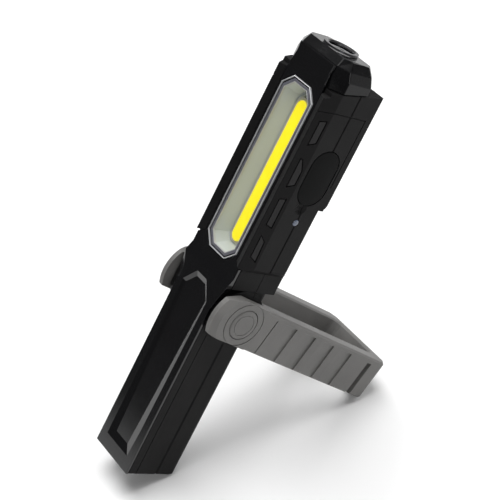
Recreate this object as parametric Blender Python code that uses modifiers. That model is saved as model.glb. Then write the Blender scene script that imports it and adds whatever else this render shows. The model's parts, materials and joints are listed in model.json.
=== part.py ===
"""Rechargeable LED work light with a swivelling U-shaped stand, at real size.

Everything is drawn in the lamp's own frame: X to the lamp's right, Y from its front to its back and
Z along its length from the bottom end of the handle to the torch. The empty lamp_frame leans that
frame back, so that the lamp rests on the rear edge of its bottom end and on the stand's crossbar.
"""

import math

import bmesh
import bpy
from mathutils import Matrix, Vector

# Driving dimensions, in metres.
GAP = 0.0003
WALL = 0.002
SEAM_Y = 0.017

HANDLE_HALF = 0.013
HANDLE_DEPTH = 0.028
HANDLE_CORNER = 0.0026
EDGE = 0.0006

HEAD_HALF = 0.0186
HEAD_LOW = 0.098
HEAD_FRONT_Y = 0.0018
HEAD_FLAT_HALF = 0.0125
RIDGE_HALF = 0.0162
RIDGE_Y = 0.0004
RIDGE_TOP = 0.1868
CHEEK_Y = 0.0073
NECK_HALF = 0.0163
NECK_TOP = 0.107
HEAD_BACK_CHAMFER = 0.0024
POD_DEPTH = 0.0322
POD_LOW = 0.141
POD_SLOPE = 0.008
CAP_FRONT_Z = 0.1912
CAP_RISE = 0.146
HEAD_CAVITY_TOP = 0.1896

FASCIA_BACK_Y = 0.003
FASCIA_HEAD_HALF = 0.0122
FASCIA_NECK_HALF = 0.0161
FASCIA_EDGE_Y = 0.0011
FASCIA_TONGUE_Y = 0.0027
FASCIA_LOW = 0.0015
FASCIA_TONGUE_HALF = 0.0112
SHOULDER_LOW = 0.0858
FASCIA_TOP = 0.2012

WINDOW_HALF = 0.0107
WINDOW_CORNER = 0.0052
WINDOW_LOW = 0.1063
WINDOW_HIGH = 0.188
STRIP_HALF = 0.003
STRIP_LOW = 0.113
STRIP_HIGH = 0.180

TORCH_Y = 0.0129
TORCH_TOP = 0.205
TORCH_BORE = 0.007
TORCH_RING = 0.0079

BUTTON_Y = 0.0168
BUTTON_Z = 0.155
BUTTON_HALF_WIDTH = 0.0078
BUTTON_HALF_LENGTH = 0.0131
BUTTON_TRAVEL = 0.0007

PORT_Y = 0.017
PORT_Z = 0.134
PORT_HALF_WIDTH = 0.0042
PORT_HALF_LENGTH = 0.0067

CELL_RADIUS = 0.0092
CELL_Y = 0.0155
CELL_LOW = 0.009
CELL_HIGH = 0.074

HUB_Y = 0.0134
HUB_Z = 0.085
HUB_RADIUS = 0.0163
HUB_FACE_RADIUS = 0.0136
HUB_BEVEL = 0.0021
EAR_RADIUS = 0.013
EAR_FACE = 0.0165
CAP_RADIUS = 0.007
STAND_OUTER = 0.0221
STAND_PLATE = 0.0177
STAND_INNER = 0.0142
STAND_HALF = 0.0101
STAND_REACH = 0.101
STAND_BAR = 0.0046
STAND_CORNER = 0.0035
STAND_EDGE = 0.0008
STAND_DROOP = math.radians(12.9)
RIB_FIRST = 0.0172
RIB_PITCH = 0.014
RIB_COUNT = 5
RIB_DEPTH = 0.0008
TWIST = 0.06

HOOK_Y = 0.0302
HOOK_Z = 0.189
HOOK_HALF = 0.0083
HOOK_LOW = 0.156
MAGNET_RADIUS = 0.0085
MAGNET_Z = 0.122

BLACK = (0.012, 0.012, 0.013)
GLOSS_BLACK = (0.004, 0.004, 0.005)
INSERT_BLACK = (0.03, 0.03, 0.032)
STAND_GREY = (0.17, 0.17, 0.165)
STEEL = (0.55, 0.56, 0.58)
BRASS = (0.6, 0.42, 0.16)
ALUMINIUM = (0.7, 0.71, 0.72)
CLEAR = (0.85, 0.87, 0.88)
WHITE = (0.75, 0.76, 0.72)
YELLOW = (0.9, 0.82, 0.05)
BOARD_GREEN = (0.02, 0.16, 0.06)

# The lamp's lowest point is the rear edge of its bottom end, and the stand's is the outer lower edge
# of the crossbar. Leaning back by this angle puts both on the ground.
HEEL_Y = HANDLE_DEPTH - EDGE
FOOT_ALONG = STAND_REACH
FOOT_ACROSS = -STAND_HALF + STAND_EDGE
FOOT_Y = HUB_Y + FOOT_ALONG * math.cos(STAND_DROOP) + FOOT_ACROSS * math.sin(STAND_DROOP)
FOOT_Z = HUB_Z - FOOT_ALONG * math.sin(STAND_DROOP) + FOOT_ACROSS * math.cos(STAND_DROOP)
LEAN = math.atan2(FOOT_Z, FOOT_Y - HEEL_Y)

PLANES = {
    "top": Matrix.Identity(3),
    "front": Matrix(((1, 0, 0), (0, 0, -1), (0, 1, 0))),
    "side": Matrix(((0, 0, 1), (1, 0, 0), (0, 1, 0))),
}
NORMALS = {"top": (0, 0, 1), "front": (0, 1, 0), "side": (1, 0, 0)}
AXES = {
    "up": (0, 0, 0),
    "right": (0, math.pi / 2, 0),
    "left": (0, -math.pi / 2, 0),
    "back": (-math.pi / 2, 0, 0),
}


def clear_scene():
    for obj in list(bpy.data.objects):
        bpy.data.objects.remove(obj, do_unlink=True)


def new_collection(name):
    collection = bpy.data.collections.new(name)
    bpy.context.scene.collection.children.link(collection)
    return collection


def new_empty(name, parent=None, location=(0, 0, 0), rotation=(0, 0, 0)):
    empty = bpy.data.objects.new(name, None)
    empty.empty_display_size = 0.01
    parts.objects.link(empty)
    return place(empty, parent, location, rotation)


def place(obj, parent, location=(0, 0, 0), rotation=(0, 0, 0)):
    obj.parent = parent
    obj.location = location
    obj.rotation_euler = rotation
    return obj


def paint(obj, colour, roughness=0.5, metallic=0.0):
    """Gives the piece its own Principled material and returns the piece."""
    material = bpy.data.materials.new(obj.name)
    material.use_nodes = True
    shader = material.node_tree.nodes["Principled BSDF"]
    shader.inputs["Base Color"].default_value = (*colour, 1.0)
    shader.inputs["Roughness"].default_value = roughness
    shader.inputs["Metallic"].default_value = metallic
    obj.data.materials.clear()
    obj.data.materials.append(material)
    return obj


def mesh_object(name, shape):
    mesh = bpy.data.meshes.new(name)
    shape.to_mesh(mesh)
    shape.free()
    obj = bpy.data.objects.new(name, mesh)
    parts.objects.link(obj)
    return obj


def soften(obj, width, segments=1):
    bevel = obj.modifiers.new("edges", "BEVEL")
    bevel.width = width
    bevel.segments = segments
    bevel.limit_method = "ANGLE"
    bevel.angle_limit = math.radians(30)
    return obj


def boolean(obj, tool, operation):
    step = obj.modifiers.new(f"{operation.lower()}_{tool.name}", "BOOLEAN")
    step.operation = operation
    step.solver = "EXACT"
    step.object = tool
    if tool.name in parts.objects:
        parts.objects.unlink(tool)
        cutters.objects.link(tool)
    tool.hide_render = True
    tool.display_type = "WIRE"
    return obj


def cut(obj, *tools):
    for tool in tools:
        boolean(obj, tool, "DIFFERENCE")
    return obj


def join(obj, *tools):
    for tool in tools:
        boolean(obj, tool, "UNION")
    return obj


def box(name, low, high, parent=None):
    """A cube stretched between two corners, placed by its centre."""
    low = Vector(low)
    high = Vector(high)
    shape = bmesh.new()
    bmesh.ops.create_cube(shape, size=1.0)
    bmesh.ops.scale(shape, vec=high - low, verts=shape.verts)
    return place(mesh_object(name, shape), parent or lamp_frame, (low + high) / 2)


def slab(name, outline, plane, low, high, holes=(), parent=None):
    """A flat outline in one of the frame's planes, as thick as from low to high along its normal."""
    curve = bpy.data.curves.new(name, "CURVE")
    curve.dimensions = "2D"
    curve.fill_mode = "BOTH"
    curve.extrude = (high - low) / 2
    for ring in (outline, *holes):
        spline = curve.splines.new("POLY")
        spline.points.add(len(ring) - 1)
        for point, (across, along) in zip(spline.points, ring):
            point.co = (across, along, 0.0, 1.0)
        spline.use_cyclic_u = True
    carrier = bpy.data.objects.new(name, curve)
    bpy.context.scene.collection.objects.link(carrier)
    graph = bpy.context.evaluated_depsgraph_get()
    mesh = bpy.data.meshes.new_from_object(carrier.evaluated_get(graph))
    bpy.data.objects.remove(carrier, do_unlink=True)
    shape = bmesh.new()
    shape.from_mesh(mesh)
    bpy.data.meshes.remove(mesh)
    bmesh.ops.remove_doubles(shape, verts=shape.verts, dist=0.000001)
    bmesh.ops.recalc_face_normals(shape, faces=shape.faces)
    if not holes:
        bmesh.ops.dissolve_limit(shape, angle_limit=0.001, verts=shape.verts, edges=shape.edges)
    centre = Vector(NORMALS[plane]) * (low + high) / 2
    turn = PLANES[plane].to_euler()
    return place(mesh_object(name, shape), parent or lamp_frame, centre, turn)


def turned(name, profile, axis, location=(0, 0, 0), steps=32, closed=False, parent=None, twist=0.0):
    """A profile of (radius, height) points turned about one axis. It runs top to bottom outside.

    A twist starts it at another angle, so that a tool's edges miss those of a piece on the same axis.
    """
    shape = bmesh.new()
    across, aside = math.cos(twist), math.sin(twist)
    points = [shape.verts.new((r * across, r * aside, height)) for r, height in profile]
    for first, second in zip(points, points[1:]):
        shape.edges.new((first, second))
    if closed:
        shape.edges.new((points[-1], points[0]))
    obj = mesh_object(name, shape)
    screw = obj.modifiers.new("turn", "SCREW")
    screw.steps = steps
    screw.render_steps = steps
    screw.use_merge_vertices = True
    screw.merge_threshold = 0.00001
    return place(obj, parent or lamp_frame, location, AXES[axis])


def rod(name, radius, low, high, axis, location=(0, 0, 0), steps=24, parent=None, twist=0.0):
    profile = [(0, high), (radius, high), (radius, low), (0, low)]
    return turned(name, profile, axis, location, steps, parent=parent, twist=twist)


def ring(name, outer, inner, low, high, axis, location=(0, 0, 0), steps=32, parent=None, twist=0.0):
    profile = [(inner, high), (outer, high), (outer, low), (inner, low)]
    return turned(name, profile, axis, location, steps, True, parent, twist)


def loft(name, rings):
    """Skins rings of the same number of points, each a (height, outline) pair, and caps the ends."""
    shape = bmesh.new()
    rows = [[shape.verts.new((*point, height)) for point in outline] for height, outline in rings]
    for below, above in zip(rows, rows[1:]):
        for index in range(len(below)):
            after = (index + 1) % len(below)
            shape.faces.new((below[index], below[after], above[after], above[index]))
    shape.faces.new(rows[0][::-1])
    shape.faces.new(rows[-1])
    return place(mesh_object(name, shape), lamp_frame)


def lead(name, points, radius):
    """A short insulated wire."""
    curve = bpy.data.curves.new(name, "CURVE")
    curve.dimensions = "3D"
    curve.bevel_depth = radius
    curve.bevel_resolution = 2
    curve.use_fill_caps = True
    spline = curve.splines.new("POLY")
    spline.points.add(len(points) - 1)
    for point, place_at in zip(spline.points, points):
        point.co = (*place_at, 1.0)
    obj = bpy.data.objects.new(name, curve)
    parts.objects.link(obj)
    return place(obj, lamp_frame)


def mirrored(half):
    """A closed outline from its right half, listed from the bottom or front end upwards."""
    return list(half) + [(-across, along) for across, along in reversed(half)]


def octagon(half, low, high, corner):
    """The window's outline, with its four corners cut off."""
    right = [(half - corner, low), (half, low + corner), (half, high - corner), (half - corner, high)]
    return mirrored(right)


def stadium(half_width, half_length, centre, steps=10):
    """An oval with straight sides and round ends, long in its second coordinate."""
    straight = half_length - half_width
    points = []
    for end in (1, -1):
        for step in range(steps + 1):
            angle = math.pi * step / steps + (0 if end > 0 else math.pi)
            across = centre[0] + half_width * math.cos(angle)
            points.append((across, centre[1] + end * straight + half_width * math.sin(angle)))
    return points


def cheek_turn(side):
    """How a flat piece lies on the chamfer between the head's front and its side."""
    along = Vector((side * (HEAD_HALF - RIDGE_HALF), CHEEK_Y - RIDGE_Y, 0)).normalized()
    up = Vector((0, 0, 1))
    return Matrix((along, up, along.cross(up))).transposed()


def cap_plane_z(y):
    """Height of the joint between the housing and the nose cap, which rises towards the back."""
    return CAP_FRONT_Z + CAP_RISE * (y - HEAD_FRONT_Y)


# Outlines of the housing seen along its length, as right halves from front to back.
CHEEK_INNER_Y = 0.0079
CHEEK_INNER_HALF = 0.0143
HEAD_WALL_Y = 0.0046
HANDLE_WALL_Y = 0.0053


def head_front_half(back):
    flat = (HEAD_FLAT_HALF, HEAD_FRONT_Y)
    return [flat, (RIDGE_HALF, RIDGE_Y), (HEAD_HALF, CHEEK_Y), (HEAD_HALF, back)]


def handle_front_half(back):
    return [
        (HANDLE_HALF - EDGE, 0.0),
        (HANDLE_HALF, EDGE),
        (HANDLE_HALF, back),
    ]


def back_half(half, front, depth, corner):
    return [(half, front), (half, depth - corner), (half - corner, depth)]


def round_back_half(half, front, depth, corner, steps=3):
    points = [(half, front)]
    for step in range(steps + 1):
        angle = math.pi / 2 * step / steps
        across = half - corner + corner * math.cos(angle)
        points.append((across, depth - corner + corner * math.sin(angle)))
    return points


def housing_openings():
    """Holes that cross the seam, so that both housing halves are cut by the same tools."""
    outline = stadium(BUTTON_HALF_WIDTH, BUTTON_HALF_LENGTH, (BUTTON_Y, BUTTON_Z))
    button_hole = slab("button_hole", outline, "side", 0.0155, 0.021)
    scoop_at = (HEAD_HALF + 0.0028, 0.0155, BUTTON_Z - BUTTON_HALF_LENGTH - 0.0012)
    shape = bmesh.new()
    bmesh.ops.create_uvsphere(shape, u_segments=16, v_segments=8, radius=0.0042)
    thumb_scoop = place(mesh_object("thumb_scoop", shape), lamp_frame, scoop_at)
    pipe_hole = rod("pipe_hole", 0.00175, 0.0155, 0.021, "right", (0, BUTTON_Y, PIPE_Z))
    outline = stadium(PORT_HALF_WIDTH, PORT_HALF_LENGTH, (PORT_Y, PORT_Z), 6)
    port_hole = slab("port_hole", outline, "side", -0.021, -0.0155)
    return button_hole, thumb_scoop, pipe_hole, port_hole


PIPE_Z = 0.1338

SCREWS = (
    (0.008, 0.0046, 0.0276, 0.013),
    (-0.008, 0.0046, 0.0276, 0.013),
    (0.0132, 0.104, 0.0276, 0.013),
    (-0.0132, 0.104, 0.0276, 0.013),
    (0.0128, 0.1825, 0.0302, 0.0165),
    (-0.0128, 0.1825, 0.0302, 0.0165),
)
SCREW_HEAD_RADIUS = 0.0024
SCREW_HEAD_HEIGHT = 0.0018
SCREW_RADIUS = 0.0012


def screw_holes(prefix):
    tools = []
    for index, (x, z, top, length) in enumerate(SCREWS, 1):
        seat = top - SCREW_HEAD_HEIGHT - GAP
        tip = top - SCREW_HEAD_HEIGHT - length - GAP
        profile = [
            (0, 0.036),
            (SCREW_HEAD_RADIUS + GAP, 0.036),
            (SCREW_HEAD_RADIUS + GAP, seat),
            (SCREW_RADIUS + GAP, seat),
            (SCREW_RADIUS + GAP, tip),
            (0, tip),
        ]
        tools.append(turned(f"{prefix}_{index}", profile, "back", (x, 0, z), 12))
    return tools


def posts(prefix, front, back, handle_front, handle_back):
    """Screw posts: two in the handle's bottom end and four in the head."""
    tools = []
    for side in (1, -1):
        low, high = sorted((side * 0.005, side * 0.0115))
        tools.append(
            box(f"{prefix}_base_{side}", (low, handle_front, 0.0015), (high, handle_back, 0.0078))
        )
        for z_low, z_high, name in ((0.0995, 0.1075, "low"), (0.179, 0.19, "high")):
            low, high = sorted((side * 0.0104, side * 0.0154))
            tools.append(box(f"{prefix}_{name}_{side}", (low, front, z_low), (high, back, z_high)))
    return tools


def top_cutter(name, lift):
    """Everything above the sloping joint under the nose cap, with the housing's rear corner."""
    outline = [
        (-0.005, cap_plane_z(-0.005) + lift),
        (0.0296, cap_plane_z(0.0296) + lift),
        (0.034, cap_plane_z(0.0296) + lift - 0.005),
        (0.04, 0.18),
        (0.04, 0.23),
        (-0.005, 0.23),
    ]
    return slab(name, outline, "side", -0.03, 0.03)


def bands(prefix):
    """Fine grooves round the top of the head's sides and down beside its back edge."""
    tools = []
    half = BAND_WIDTH / 2
    for side in (1, -1):
        low, high = sorted((side * (HEAD_HALF - BAND_DEPTH), side * (HEAD_HALF + 0.001)))
        across = ((low, CHEEK_Y + 0.0001, BAND_Z - half), (high, BAND_Y + half, BAND_Z + half))
        down = ((low, BAND_Y - half, POD_LOW + 0.011), (high, BAND_Y + half, BAND_Z))
        tools.append(box(f"{prefix}_band_{side}", *across))
        tools.append(box(f"{prefix}_band_down_{side}", *down))
    return tools


def neck_sides(prefix):
    """What the narrower neck under the head leaves out on each side."""
    slant = HEAD_HALF - NECK_HALF
    over = 0.001
    tools = []
    for side in (1, -1):
        outline = [
            (NECK_HALF, HEAD_LOW - 0.004),
            (0.03, HEAD_LOW - 0.004),
            (0.03, NECK_TOP + slant + over),
            (HEAD_HALF + over, NECK_TOP + slant + over),
            (NECK_HALF, NECK_TOP),
        ]
        outline = [(side * across, along) for across, along in outline]
        tools.append(slab(f"{prefix}_neck_{side}", outline, "front", -0.005, 0.04))
    return tools


def shoulder(side):
    """A facet that widens from the handle to the neck, behind the edge of the fascia."""
    root = HANDLE_HALF - 0.0003
    inside = 0.0118
    rings = []
    for height, half in ((SHOULDER_LOW, HANDLE_HALF - 0.0001), (HEAD_LOW + 0.0002, NECK_HALF)):
        end = FASCIA_EDGE_Y + 1.1 * (half - root)
        section = [(inside, FASCIA_EDGE_Y), (half, FASCIA_EDGE_Y), (root, end), (inside, end)]
        rings.append((height, [(side * across, along) for across, along in section][::side]))
    return loft(f"shoulder_{side}", rings)


def ear(name, side, edge, rear, steps=28):
    """Half of the round boss that carries the stand, up to the seam's edge."""
    meet = math.acos((edge - HUB_Y) / EAR_RADIUS)
    start, end = (-meet, meet) if rear else (meet, 2 * math.pi - meet)
    outline = []
    for step in range(steps + 1):
        angle = start + (end - start) * step / steps
        outline.append((HUB_Y + EAR_RADIUS * math.cos(angle), HUB_Z + EAR_RADIUS * math.sin(angle)))
    low, high = sorted((side * 0.0116, side * EAR_FACE))
    return slab(name, outline, "side", low, high)


INSERT_OUTLINES = (
    ((0.0028, 0.1676), (0.0064, 0.1695), (0.0064, 0.1801), (0.0028, 0.1791)),
    ((0.0028, 0.1479), (0.0064, 0.15), (0.0064, 0.1568), (0.0044, 0.1615), (0.0028, 0.1622)),
    ((0.0025, 0.13), (0.0059, 0.1291), (0.0059, 0.1437), (0.0025, 0.1427)),
    ((0.0028, 0.1146), (0.0064, 0.1126), (0.0059, 0.1229), (0.0028, 0.1258)),
)
INSERT_DEPTH = 0.0009
INSERT_GROOVE = 0.0005
BAND_Z = 0.184
BAND_Y = 0.0258
BAND_WIDTH = 0.0005
BAND_DEPTH = 0.0004


def cheek_slab(name, outline, side, inner, outer):
    """A flat piece on a chamfered cheek. inner and outer are depths below the chamfer's face."""
    obj = slab(name, outline, "top", -(inner - outer) / 2, (inner - outer) / 2)
    turn = cheek_turn(side)
    outward = turn.col[2] * side
    start = Vector((side * RIDGE_HALF, RIDGE_Y, 0))
    return place(obj, lamp_frame, start - outward * (inner + outer) / 2, turn.to_euler())


def shrunk(outline, margin):
    """The same convex outline moved in by a margin along each edge."""
    count = len(outline)
    centre = Vector((sum(p[0] for p in outline) / count, sum(p[1] for p in outline) / count))
    lines = []
    for index in range(count):
        start = Vector(outline[index])
        end = Vector(outline[(index + 1) % count])
        inward = (end - start).normalized().orthogonal()
        if inward.dot(centre - start) < 0:
            inward.negate()
        lines.append((start + inward * margin, end - start))
    moved = []
    for index in range(count):
        point, along = lines[index - 1]
        other, across = lines[index]
        step = (other - point).cross(across) / along.cross(across)
        moved.append(tuple(point + along * step))
    return moved


def build_front_shell(openings):
    back = SEAM_Y - GAP / 2
    shell = slab("front_shell", mirrored(head_front_half(back)), "top", HEAD_LOW, 0.2)
    soften(shell, EDGE / 2)
    handle = slab("handle_front", mirrored(handle_front_half(back)), "top", 0.0, HEAD_LOW + 0.0015)
    soften(handle, EDGE)
    join(shell, handle)
    inner = [(CHEEK_INNER_HALF, HEAD_WALL_Y), (HEAD_HALF - WALL, CHEEK_INNER_Y)]
    inner.append((HEAD_HALF - WALL, 0.018))
    head_cavity = slab("head_front_cavity", mirrored(inner), "top", 0.1105, HEAD_CAVITY_TOP)
    neck_cavity = box("neck_front_cavity", (-0.0127, HEAD_WALL_Y, 0.1005), (0.0127, 0.018, 0.1112))
    inner_half = HANDLE_HALF - WALL
    handle_cavity = box(
        "handle_front_cavity", (-inner_half, HANDLE_WALL_Y, 0.0022), (inner_half, 0.018, 0.1012)
    )
    cut(shell, *neck_sides("front"))
    join(shell, shoulder(1), shoulder(-1))
    cut(shell, head_cavity, neck_cavity, handle_cavity)
    join(shell, *posts("front_post", 0.011, back, 0.0045, back))
    join(shell, ear("front_ear_right", 1, back, False), ear("front_ear_left", -1, back, False))
    pocket_outline = mirrored(
        [
            (NECK_HALF + 0.001, HEAD_LOW - 0.0007),
            (NECK_HALF + 0.001, NECK_TOP + 0.0007),
            (FASCIA_HEAD_HALF + GAP, NECK_TOP + 0.0033),
            (FASCIA_HEAD_HALF + GAP, 0.21),
        ]
    )
    cut(shell, slab("fascia_pocket", pocket_outline, "front", -0.002, FASCIA_BACK_Y + GAP))
    tongue_half = FASCIA_TONGUE_HALF + GAP
    tongue_low = (-tongue_half, -0.003, FASCIA_LOW - GAP)
    cut(shell, box("tongue_pocket", tongue_low, (tongue_half, FASCIA_TONGUE_Y + GAP, HEAD_LOW)))
    cut(shell, box("handle_front_trim", (-0.02, -0.002, -0.001), (0.02, FASCIA_EDGE_Y + GAP, 0.0976)))
    ridge_end = [(-0.003, RIDGE_TOP), (0.0029, RIDGE_TOP + 0.0027), (0.0029, 0.21), (-0.003, 0.21)]
    cut(shell, slab("ridge_end", ridge_end, "side", -0.03, 0.03))
    hole = octagon(WINDOW_HALF + GAP, WINDOW_LOW - GAP, WINDOW_HIGH + GAP, WINDOW_CORNER)
    cut(shell, slab("window_hole", hole, "front", -0.001, 0.006))
    cut(shell, top_cutter("front_top", 0.0))
    cut(shell, rod("torch_wire_hole", 0.0024, 0.186, 0.2, "up", (0, 0.0135, 0), 12))
    cut(shell, *openings)
    cut(shell, *screw_holes("front_screw_hole"))
    cut(shell, rod("insert_hole_right", 0.0029, 0.0108, 0.018, "right", (0, HUB_Y, HUB_Z)))
    cut(shell, rod("insert_hole_left", 0.0029, 0.0108, 0.018, "left", (0, HUB_Y, HUB_Z)))
    groove_low, groove_high = 0.0053, 0.0057
    for side in (1, -1):
        low, high = sorted((side * (HANDLE_HALF - 0.0004), side * (HANDLE_HALF + 0.001)))
        cut(
            shell,
            box(f"handle_groove_{side}", (low, groove_low, -0.001), (high, groove_high, 0.0735)),
        )
        for index, outline in enumerate(INSERT_OUTLINES, 1):
            pocket = cheek_slab(f"insert_pocket_{side}_{index}", outline, side, INSERT_DEPTH, -0.001)
            cut(shell, pocket)
        fall = 0.0013
        band = [(-0.001, BAND_Z - fall - BAND_WIDTH), (0.0079, BAND_Z - BAND_WIDTH / 2)]
        band += [(0.0079, BAND_Z + BAND_WIDTH / 2), (-0.001, BAND_Z - fall)]
        cut(shell, cheek_slab(f"cheek_band_{side}", band, side, BAND_DEPTH, -0.001))
    cut(shell, *bands("front"))
    return paint(shell, BLACK, 0.42)


def build_rear_shell(openings):
    front = SEAM_Y + GAP / 2
    outline = mirrored(back_half(HEAD_HALF, front, HANDLE_DEPTH, HEAD_BACK_CHAMFER))
    shell = slab("rear_shell", outline, "top", HEAD_LOW, POD_LOW + 0.005)
    soften(shell, EDGE / 2)
    outline = mirrored(back_half(HEAD_HALF, front, POD_DEPTH, 0.003))
    pod = soften(slab("pod", outline, "top", POD_LOW, 0.2), EDGE / 2)
    outline = mirrored(round_back_half(HANDLE_HALF, front, HANDLE_DEPTH, HANDLE_CORNER))
    handle = soften(slab("handle_rear", outline, "top", 0.0, HEAD_LOW + 0.0015), EDGE)
    join(shell, pod, handle)
    start = HANDLE_DEPTH + GAP
    end = POD_DEPTH + 0.001
    slope = [
        (start, POD_LOW - 0.002),
        (start, POD_LOW + 0.001),
        (end, POD_LOW + 0.001 + POD_SLOPE),
        (end + 0.002, POD_LOW + POD_SLOPE),
        (end + 0.002, POD_LOW - 0.002),
    ]
    cut(shell, slab("pod_slope", slope, "side", -0.03, 0.03))
    inner = HEAD_HALF - WALL
    head_cavity = box("head_rear_cavity", (-inner, 0.016, 0.1095), (inner, 0.0234, HEAD_CAVITY_TOP))
    pod_cavity = box("pod_cavity", (-inner, 0.023, 0.143), (inner, 0.0266, 0.178))
    inner = HANDLE_HALF - WALL
    handle_cavity = box("handle_rear_cavity", (-inner, 0.016, 0.0022), (inner, 0.026, 0.1012))
    neck_cavity = box("neck_rear_cavity", (-inner, 0.016, 0.1005), (inner, 0.0232, 0.1102))
    cut(shell, *neck_sides("rear"))
    cut(shell, head_cavity, pod_cavity, neck_cavity, handle_cavity)
    join(shell, *posts("rear_post", front, 0.0245, front, 0.027))
    join(shell, ear("rear_ear_right", 1, front, True), ear("rear_ear_left", -1, front, True))
    cut(shell, top_cutter("rear_top", 0.0))
    cut(shell, *openings)
    cut(shell, *screw_holes("rear_screw_hole"))
    recess_half = HOOK_HALF + GAP
    cut(shell, box("hook_recess", (-recess_half, 0.0282, 0.1553), (recess_half, 0.036, 0.205)))
    pin_hole = rod("pin_hole", 0.0013, -0.0113, 0.0113, "right", (0, HOOK_Y, HOOK_Z), 16)
    magnet_hole = rod(
        "magnet_hole", MAGNET_RADIUS + GAP, 0.0251, 0.03, "back", (0, 0, MAGNET_Z), 32
    )
    cut(shell, pin_hole, magnet_hole, *bands("rear"))
    return paint(shell, BLACK, 0.42)


def build_fascia():
    outline = mirrored(
        [
            (HANDLE_HALF, 0.0),
            (HANDLE_HALF, SHOULDER_LOW + 0.0002),
            (FASCIA_NECK_HALF, HEAD_LOW),
            (FASCIA_NECK_HALF, NECK_TOP + 0.0004),
            (FASCIA_HEAD_HALF, NECK_TOP + 0.003),
            (FASCIA_HEAD_HALF, CAP_FRONT_Z - 0.0016),
            (0.0112, 0.1972),
            (0.0116, FASCIA_TOP),
        ]
    )
    fascia = slab("front_fascia", outline, "front", 0.0, FASCIA_BACK_Y)
    cut(fascia, box("fascia_rebate", (-0.02, FASCIA_EDGE_Y, -0.001), (0.02, 0.005, 0.0976)))
    tongue_low = (-FASCIA_TONGUE_HALF, 0.0005, FASCIA_LOW)
    join(fascia, box("fascia_tongue", tongue_low, (FASCIA_TONGUE_HALF, FASCIA_TONGUE_Y, 0.0982)))
    # The head's part lies deeper than the handle's, with a short slope between them.
    step = [(-0.001, 0.098), (0.0, 0.098), (HEAD_FRONT_Y, 0.1025), (HEAD_FRONT_Y, 0.21), (-0.001, 0.21)]
    cut(fascia, slab("fascia_step", step, "side", -0.03, 0.03))
    hole = octagon(WINDOW_HALF + GAP, WINDOW_LOW - GAP, WINDOW_HIGH + GAP, WINDOW_CORNER)
    cut(fascia, slab("fascia_window", hole, "front", -0.001, 0.006))
    # A shallow trough runs down the handle, its floor narrower than its mouth towards the bottom.
    mouth = ((0.0095, 0.0056), (0.0098, 0.0872), (0.0036, 0.0952))
    floor = ((0.0047, 0.0102), (0.0079, 0.0866), (0.0032, 0.0922))
    shape = bmesh.new()
    rows = []
    for depth, corners in ((-0.0002, mouth), (0.0009, floor)):
        ring_points = mirrored(corners)
        rows.append([shape.verts.new((x, depth, z)) for x, z in ring_points])
    for index in range(len(rows[0])):
        after = (index + 1) % len(rows[0])
        shape.faces.new((rows[0][index], rows[1][index], rows[1][after], rows[0][after]))
    shape.faces.new(rows[0])
    shape.faces.new(rows[1][::-1])
    bmesh.ops.recalc_face_normals(shape, faces=shape.faces)
    cut(fascia, place(mesh_object("trough", shape), lamp_frame))
    return paint(fascia, GLOSS_BLACK, 0.08)


def nose_half(front_half, front_y, half, cheek, back_start, back_half_width, back):
    return [(front_half, front_y), (half, cheek), (half, back_start), (back_half_width, back)]


def build_nose():
    front_y = FASCIA_BACK_Y + GAP
    rings = (
        (0.186, nose_half(0.0149, front_y, 0.0182, 0.0078, 0.0205, 0.0146, 0.024)),
        (0.1974, nose_half(0.0116, front_y, 0.0182, 0.0078, 0.0205, 0.0146, 0.024)),
        (0.2014, nose_half(0.012, front_y, 0.0166, 0.0072, 0.0196, 0.0134, 0.0226)),
        (TORCH_TOP, nose_half(0.0116, 0.0051, 0.0146, 0.0086, 0.0178, 0.0118, 0.0206)),
    )
    nose = loft("nose_cap", [(height, mirrored(half)) for height, half in rings])
    below = [
        (-0.005, cap_plane_z(-0.005) + GAP),
        (-0.005, 0.17),
        (0.04, 0.17),
        (0.04, cap_plane_z(0.04) + GAP),
    ]
    cut(nose, slab("nose_underside", below, "side", -0.03, 0.03))
    cut(nose, rod("torch_bore", TORCH_BORE, 0.18, 0.22, "up", (0, TORCH_Y, 0)))
    paint(nose, GLOSS_BLACK, 0.18)

    centre = (0, TORCH_Y, 0)
    low = TORCH_TOP + GAP
    bezel = [(0.0058, low + 0.0006), (0.0066, low + 0.001), (TORCH_RING, low + 0.001)]
    bezel += [(TORCH_RING, low), (0.0058, low)]
    paint(turned("torch_ring", bezel, "up", centre, closed=True), STEEL, 0.25, 1.0)
    inner = TORCH_BORE - 0.0004
    paint(rod("torch_lens", inner, 0.2035, 0.2047, "up", centre), CLEAR, 0.05)
    cup = [(inner, 0.2032), (inner, 0.2022), (0.0034, 0.1954), (0.0028, 0.1954)]
    cup += [(0.0028, 0.1962), (0.0058, 0.2032)]
    paint(turned("torch_reflector", cup, "up", centre, closed=True), ALUMINIUM, 0.05, 1.0)
    paint(rod("torch_board", inner, 0.194, 0.195, "up", centre), ALUMINIUM, 0.5, 1.0)
    chip = box("torch_led", (-0.0016, TORCH_Y - 0.0016, 0.1953), (0.0016, TORCH_Y + 0.0016, 0.1961))
    paint(chip, YELLOW, 0.4)


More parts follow.
